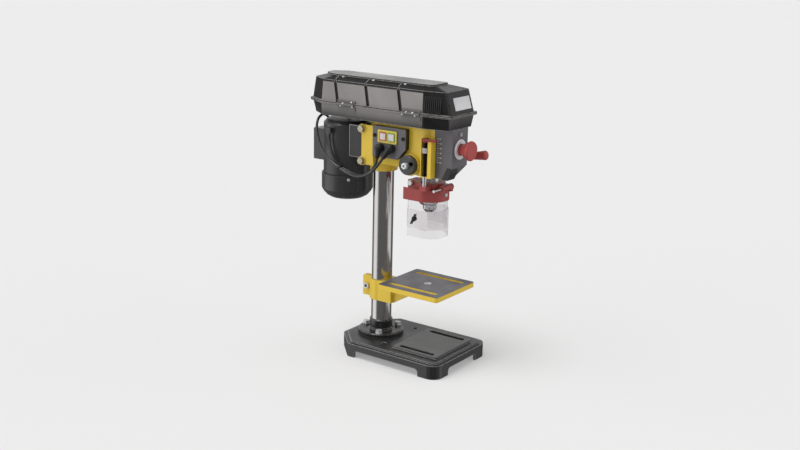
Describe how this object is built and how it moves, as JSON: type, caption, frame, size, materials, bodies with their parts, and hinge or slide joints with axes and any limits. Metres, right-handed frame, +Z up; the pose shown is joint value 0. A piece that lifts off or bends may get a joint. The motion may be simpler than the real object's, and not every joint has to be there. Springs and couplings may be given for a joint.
{
  "type": "benchtop drill press",
  "caption": "Benchtop drill press with a cast base, round column, clamped table, belt-driven quill and jaw chuck, hinged clear guard, spoked feed handle and rear motor.",
  "frame": {"origin": "on the bench, under the middle of the machine's length and width", "axes": "+X forward from the column to the spindle, +Y towards the feed handle's side, +Z up"},
  "size_m": [0.4116, 0.206, 0.6163],
  "materials": {
    "black_paint": "satin black enamel on castings",
    "housing_paint": "satin black powder coat",
    "yellow_paint": "semi-gloss yellow enamel",
    "grey_cover": "matt dark grey moulding",
    "machined_steel": "ground and bright",
    "zinc_bolts": "zinc plated",
    "dark_steel": "blackened steel",
    "bearing_steel": "bright",
    "chuck_steel": "polished",
    "black_plastic": "fine grained",
    "red_plastic": "smooth",
    "red_guard": "smooth",
    "stop_red": "glossy",
    "start_green": "glossy",
    "ring_metal": "turned",
    "clear_shield": "clear polycarbonate",
    "pulley_aluminium": "die cast and turned",
    "belt_rubber": "matt",
    "lead_rubber": "matt sheath"
  },
  "bodies": {
    "frame": {"base": "black_paint", "column_flange": "black_paint", "flange_bolts": "zinc_bolts", "column": "machined_steel", "head_casting": "yellow_paint", "front_cover": "grey_cover", "lamp_pod": "black_plastic", "head_screws": "dark_steel", "estop_ring": "ring_metal", "switch_box": "black_plastic", "switch_plate": "grey_cover", "switch_bezel": "yellow_paint", "lead_boots": "black_plastic", "spring_cap": "black_plastic", "return_spring": "dark_steel", "belt_tray": "housing_paint", "tray_bolts": "zinc_bolts", "tray_hinge_leaves": "housing_paint", "sleeve_bearings": "bearing_steel", "v_belt": "belt_rubber", "bracket_bolts": "zinc_bolts", "switch_lead_a": "lead_rubber", "switch_lead_b": "lead_rubber"},
    "table_body": {"table": "yellow_paint", "clamp_nut": "dark_steel"},
    "lock_lever": {"table_lock_lever": "dark_steel"},
    "estop": {"estop_button": "red_plastic"},
    "start_key": {"start_button": "start_green"},
    "stop_key": {"stop_button": "stop_red"},
    "feed": {"pinion_shaft": "machined_steel", "feed_hub": "black_plastic", "feed_spokes": "machined_steel", "feed_knobs": "red_plastic"},
    "quill_body": {"quill": "machined_steel", "quill_bearings": "bearing_steel", "depth_rod": "dark_steel", "depth_pointer": "red_plastic", "guard_collar": "red_guard", "collar_bolt": "zinc_bolts", "guard_hinge_pin": "machined_steel"},
    "depth_stop": {"depth_nuts": "zinc_bolts"},
    "spindle_body": {"spindle": "machined_steel", "chuck_body": "chuck_steel"},
    "chuck_ring": {"chuck_sleeve": "chuck_steel"},
    "jaw_a": {"chuck_jaw_1": "chuck_steel"},
    "jaw_b": {"chuck_jaw_2": "chuck_steel"},
    "jaw_c": {"chuck_jaw_3": "chuck_steel"},
    "guard": {"guard_frame": "red_guard", "upper_shield": "clear_shield", "wing_screw": "black_plastic"},
    "shield": {"lower_shield": "clear_shield"},
    "lid": {"belt_lid": "housing_paint", "lid_hinge_leaves": "housing_paint"},
    "drive": {"spindle_pulley": "pulley_aluminium", "drive_sleeve": "dark_steel"},
    "motor": {"motor_body": "black_paint", "fan_cover": "black_paint", "motor_bracket": "dark_steel"},
    "rotor": {"motor_pulley": "pulley_aluminium", "motor_shaft": "bearing_steel"}
  },
  "joints": [
    {"name": "table_lift", "type": "slide", "parent": "frame", "child": "table_body", "axis": [0, 0, 1], "range_m": [-0.045, 0.045]},
    {"name": "table_lock", "type": "hinge", "parent": "table_body", "child": "lock_lever", "pos_m": [-0.05725, 0, 0.139], "axis": [0, -1, 0], "range_deg": [0, 90]},
    {"name": "estop_press", "type": "slide", "parent": "frame", "child": "estop", "axis": [-1, 0, 0], "range_m": [0, 0.005], "stiffness_N_per_m": 600, "springref_m": -0.002},
    {"name": "start_press", "type": "slide", "parent": "frame", "child": "start_key", "axis": [0, 1, 0], "range_m": [0, 0.003], "stiffness_N_per_m": 400, "springref_m": -0.001},
    {"name": "stop_press", "type": "slide", "parent": "frame", "child": "stop_key", "axis": [0, 1, 0], "range_m": [0, 0.003], "stiffness_N_per_m": 400, "springref_m": -0.001},
    {"name": "quill_feed", "type": "slide", "parent": "frame", "child": "quill_body", "axis": [0, 0, -1], "range_m": [0, 0.05], "stiffness_N_per_m": 240, "springref_m": -0.25},
    {"name": "feed_turn", "type": "hinge", "parent": "frame", "child": "feed", "pos_m": [0.07462, 0, 0.4427], "axis": [0, 1, 0], "range_deg": [0, 306]},
    {"name": "depth_set", "type": "slide", "parent": "quill_body", "child": "depth_stop", "axis": [0, 0, 1], "range_m": [-0.045, 0.01]},
    {"name": "spindle_spin", "type": "hinge", "parent": "quill_body", "child": "spindle_body", "pos_m": [0.10275, 0, 0], "axis": [0, 0, 1], "continuous": true},
    {"name": "chuck_turn", "type": "hinge", "parent": "spindle_body", "child": "chuck_ring", "pos_m": [0.10275, 0, 0], "axis": [0, 0, 1], "range_deg": [0, 720]},
    {"name": "jaw_a_slide", "type": "slide", "parent": "spindle_body", "child": "jaw_a", "axis": [-0.1392, 0, -0.9903], "range_m": [0, 0.014]},
    {"name": "jaw_b_slide", "type": "slide", "parent": "spindle_body", "child": "jaw_b", "axis": [0.0696, -0.1205, -0.9903], "range_m": [0, 0.014]},
    {"name": "jaw_c_slide", "type": "slide", "parent": "spindle_body", "child": "jaw_c", "axis": [0.0696, 0.1205, -0.9903], "range_m": [0, 0.014]},
    {"name": "guard_flip", "type": "hinge", "parent": "quill_body", "child": "guard", "pos_m": [0.14375, 0, 0.396], "axis": [0, -1, 0], "range_deg": [0, 90]},
    {"name": "shield_slide", "type": "slide", "parent": "guard", "child": "shield", "axis": [0, 0, -1], "range_m": [0, 0.012]},
    {"name": "lid_open", "type": "hinge", "parent": "frame", "child": "lid", "pos_m": [-0.02225, -0.062, 0.55615], "axis": [1, 0, 0], "range_deg": [0, 105]},
    {"name": "spindle_pulley_spin", "type": "hinge", "parent": "frame", "child": "drive", "pos_m": [0.10275, 0, 0], "axis": [0, 0, 1], "continuous": true},
    {"name": "motor_slide", "type": "slide", "parent": "frame", "child": "motor", "axis": [1, 0, 0], "range_m": [0, 0.008]},
    {"name": "motor_spin", "type": "hinge", "parent": "motor", "child": "rotor", "pos_m": [-0.12425, 0, 0], "axis": [0, 0, 1], "continuous": true}
  ],
  "couplings": [
    {"joint": "feed_turn", "follows": "quill_feed", "rad_per_m": 106.67},
    {"joint": "spindle_spin", "follows": "spindle_pulley_spin", "ratio": 1},
    {"joint": "motor_spin", "follows": "spindle_pulley_spin", "ratio": 1.4314},
    {"joint": "jaw_a_slide", "follows": "chuck_turn", "m_per_rad": 0.001114},
    {"joint": "jaw_b_slide", "follows": "chuck_turn", "m_per_rad": 0.001114},
    {"joint": "jaw_c_slide", "follows": "chuck_turn", "m_per_rad": 0.001114}
  ]
}
